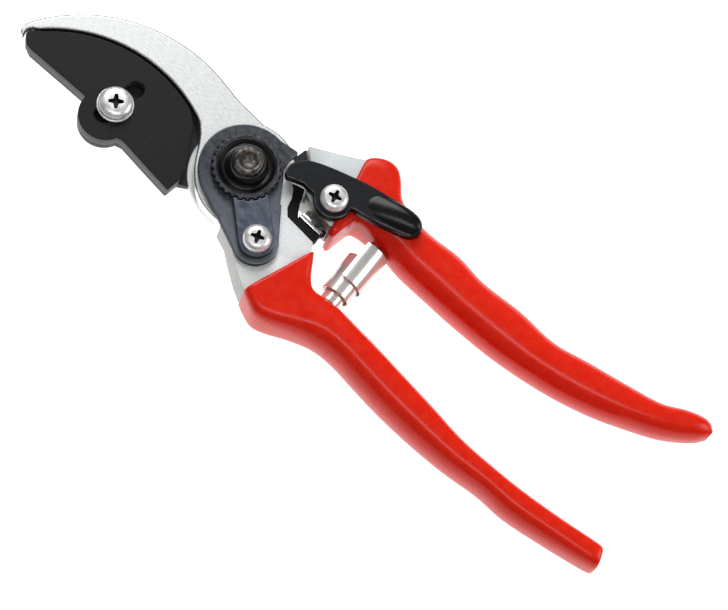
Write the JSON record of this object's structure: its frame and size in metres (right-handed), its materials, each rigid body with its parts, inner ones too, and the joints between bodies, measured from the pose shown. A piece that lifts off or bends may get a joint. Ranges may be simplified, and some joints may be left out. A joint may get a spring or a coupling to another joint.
{
  "type": "pruning shears",
  "caption": "Cut-and-hold bypass pruning shears: crescent hook jaw, coated blade with a slotted hold plate, toothed pivot nut, thumb catch, volute spring, red dipped grips.",
  "frame": {"origin": "on the pivot axis, in the plane of the bolt head's flat back, which is the plane that the shears lie on", "axes": "+X from the pivot toward the jaw tips, +Y toward the lower handle, whose lever carries the hook jaw, +Z along the pivot axis out of the nut side"},
  "size_m": [0.2102, 0.0579, 0.0223],
  "materials": {
    "forged_alloy": "blasted forging, satin",
    "grip_red": "dipped, soft gloss",
    "jaw_steel": "ground across the jaw, satin",
    "plain_steel": "satin",
    "blackened_steel": "oil-blackened, semi gloss",
    "black_plate": "black coating, satin",
    "blued_steel": "blued, semi gloss",
    "bright_screw": "bright plated",
    "buffer_rubber": "matt",
    "spring_steel": "polished",
    "coated_blade": "low-friction coating, satin",
    "bronze": "machined",
    "catch_black": "gloss"
  },
  "bodies": {
    "lower_lever": {"lower_handle": "forged_alloy", "lower_grip": "grip_red", "hook_jaw": "jaw_steel", "jaw_rivets": "plain_steel", "pivot_bolt": "blackened_steel", "pivot_nut": "blackened_steel", "lock_plate": "black_plate", "lock_segment": "blued_steel", "lock_screw": "bright_screw", "rubber_buffer": "buffer_rubber", "lower_spring_seat": "plain_steel", "volute_spring": "spring_steel"},
    "upper_lever": {"upper_handle": "forged_alloy", "upper_grip": "grip_red", "cutting_blade": "coated_blade", "blade_screws": "plain_steel", "pivot_bush": "bronze", "stop_pad": "plain_steel", "hold_screw": "bright_screw", "hold_washer": "bright_screw", "hold_nut": "plain_steel", "upper_spring_seat": "plain_steel", "catch_screw": "bright_screw", "catch_washer": "plain_steel", "catch_spring": "spring_steel"},
    "hold_slide": {"hold_plate": "black_plate"},
    "catch_lever": {"thumb_catch": "catch_black"}
  },
  "joints": [
    {"name": "pivot", "type": "hinge", "parent": "lower_lever", "child": "upper_lever", "pos_m": [0, 0, 0], "axis": [0, 0, 1], "range_deg": [0, 28], "stiffness_Nm_per_rad": 1, "springref_deg": 45.84, "deforming": ["volute_spring"]},
    {"name": "hold_adjust", "type": "slide", "parent": "upper_lever", "child": "hold_slide", "axis": [0.2061, 0.9785, 0], "range_m": [0, 0.0068]},
    {"name": "catch_turn", "type": "hinge", "parent": "upper_lever", "child": "catch_lever", "pos_m": [-0.0234, -0.0071, 0], "axis": [0, 0, 1], "range_deg": [0, 25]}
  ]
}
